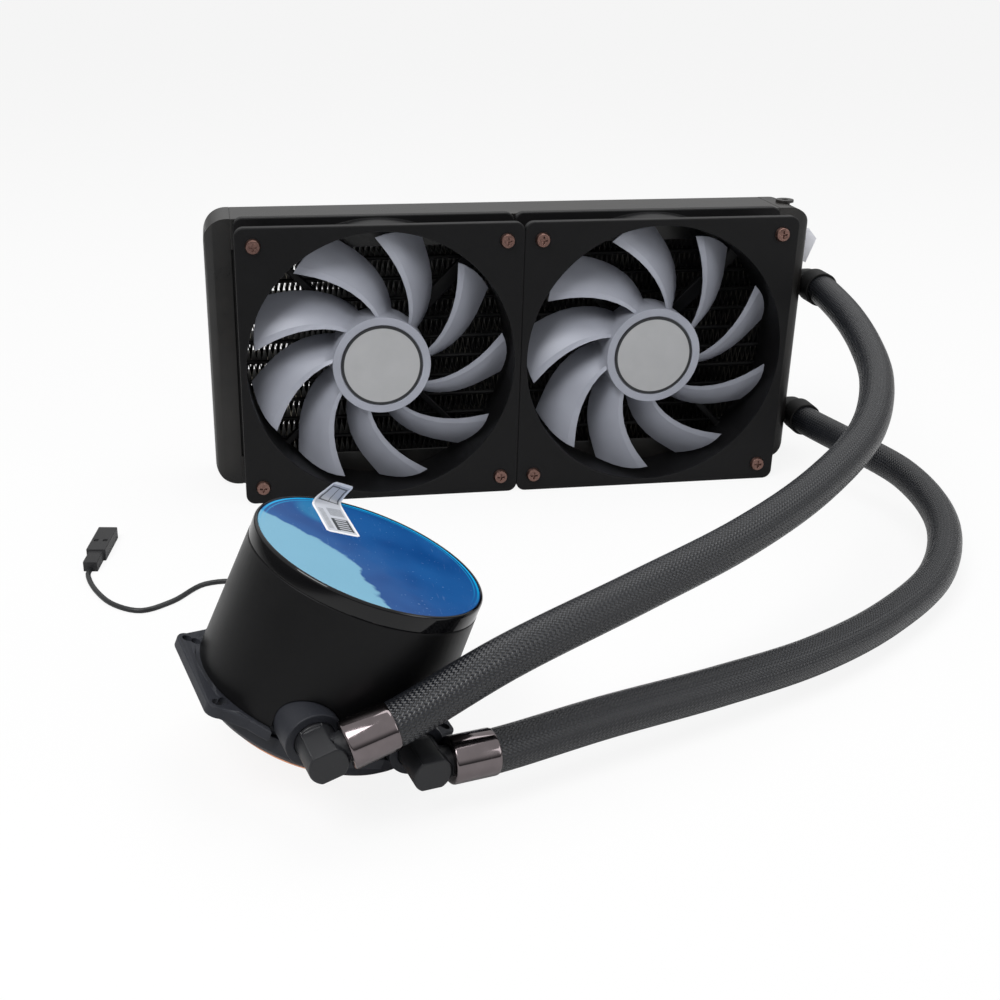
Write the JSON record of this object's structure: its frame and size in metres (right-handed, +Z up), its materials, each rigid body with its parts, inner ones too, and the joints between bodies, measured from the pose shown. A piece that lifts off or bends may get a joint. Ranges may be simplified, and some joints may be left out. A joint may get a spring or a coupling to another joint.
{
  "type": "all in one cpu liquid cooler",
  "caption": "Closed loop liquid cooler: radiator with axial fans, round pump block with a filmed mirror disc and a cold plate, braided hoses on swivel elbows and a short control cable.",
  "frame": {"origin": "centre of the radiator's bottom face", "axes": "+X along the radiator towards the tank with the hose fittings, +Y from the fans to the back of the radiator, +Z up"},
  "size_m": [0.3524, 0.3002, 0.1202],
  "materials": {
    "radiator_paint": "satin black paint",
    "core_paint": "thin black paint on aluminium",
    "fan_plastic": "matte black",
    "rotor_plastic": "satin silver grey",
    "cap_plastic": "smooth light grey",
    "winding": "enamelled copper",
    "magnet": "dull dark grey",
    "board": "green lacquer",
    "steel": "ground",
    "screw_steel": "dark bronze coating",
    "sleeve_brass": "plain",
    "clip_plastic": "plain",
    "housing_plastic": "satin black",
    "bezel_plastic": "polished black",
    "mirror_glass": "polished",
    "film": "clear blue",
    "tab_film": "white",
    "diffuser": "milky",
    "bracket_plastic": "matte blue black",
    "ceramic": "white",
    "copper": "milled copper",
    "rubber_black": "matte",
    "ferrule_metal": "dark polished",
    "sleeve_braid": "fine woven sleeve",
    "cable_skin": "matte",
    "label_paper": "bare white"
  },
  "bodies": {
    "cooler": {"tank_left": "radiator_paint", "tank_right": "radiator_paint", "header_plates": "radiator_paint", "core_tubes": "core_paint", "core_fins": "core_paint", "rail_top": "radiator_paint", "rail_bottom": "radiator_paint", "tank_fittings": "housing_plastic", "hose_collars": "housing_plastic", "fill_plug": "radiator_paint", "tank_label": "label_paper", "fan_left_frame": "fan_plastic", "fan_left_stator": "winding", "fan_left_board": "board", "fan_left_bearing": "sleeve_brass", "fan_right_frame": "fan_plastic", "fan_right_stator": "winding", "fan_right_board": "board", "fan_right_bearing": "sleeve_brass", "fan_screws": "screw_steel", "pump_body": "housing_plastic", "pump_bezel": "bezel_plastic", "mirror_disc": "mirror_glass", "blue_film": "film", "film_tab": "tab_film", "light_ring": "diffuser", "control_board": "board", "pump_stator": "winding", "chamber_plate": "housing_plastic", "impeller_shaft": "ceramic", "pump_base": "bracket_plastic", "mounting_bracket": "bracket_plastic", "cold_plate": "copper", "plate_gasket": "rubber_black", "plate_screws": "steel", "hose_upper": "sleeve_braid", "hose_lower": "sleeve_braid", "cable_grommet": "rubber_black", "pump_cable": "cable_skin", "pump_plug": "housing_plastic"},
    "fan_left_wheel": {"fan_left_rotor": "rotor_plastic", "fan_left_magnet": "magnet", "fan_left_shaft": "steel", "fan_left_clip": "clip_plastic", "fan_left_cap": "cap_plastic"},
    "fan_right_wheel": {"fan_right_rotor": "rotor_plastic", "fan_right_magnet": "magnet", "fan_right_shaft": "steel", "fan_right_clip": "clip_plastic", "fan_right_cap": "cap_plastic"},
    "pump_impeller": {"impeller": "clip_plastic", "impeller_magnet": "magnet"},
    "upper_elbow": {"elbow_upper": "bracket_plastic", "elbow_seal_upper": "rubber_black", "ferrule_upper": "ferrule_metal"},
    "lower_elbow": {"elbow_lower": "bracket_plastic", "elbow_seal_lower": "rubber_black", "ferrule_lower": "ferrule_metal"}
  },
  "joints": [
    {"name": "fan_left_spin", "type": "hinge", "parent": "cooler", "child": "fan_left_wheel", "pos_m": [-0.06, -0.026, 0.06], "axis": [0, -1, 0], "continuous": true},
    {"name": "fan_right_spin", "type": "hinge", "parent": "cooler", "child": "fan_right_wheel", "pos_m": [0.06, -0.026, 0.06], "axis": [0, -1, 0], "continuous": true},
    {"name": "impeller_spin", "type": "hinge", "parent": "cooler", "child": "pump_impeller", "pos_m": [-0.10074, -0.233, 0.02881], "axis": [0.3633, 0, 0.9317], "continuous": true},
    {"name": "elbow_upper_swivel", "type": "hinge", "parent": "cooler", "child": "upper_elbow", "pos_m": [-0.10534, -0.28038, 0.02738], "axis": [0.249, -0.9636, -0.0971], "range_deg": [-15, 30], "deforming": ["hose_upper"]},
    {"name": "elbow_lower_swivel", "type": "hinge", "parent": "cooler", "child": "lower_elbow", "pos_m": [-0.07607, -0.27167, 0.01597], "axis": [0.249, -0.9636, -0.0971], "range_deg": [-10, 35], "deforming": ["hose_lower"]}
  ]
}
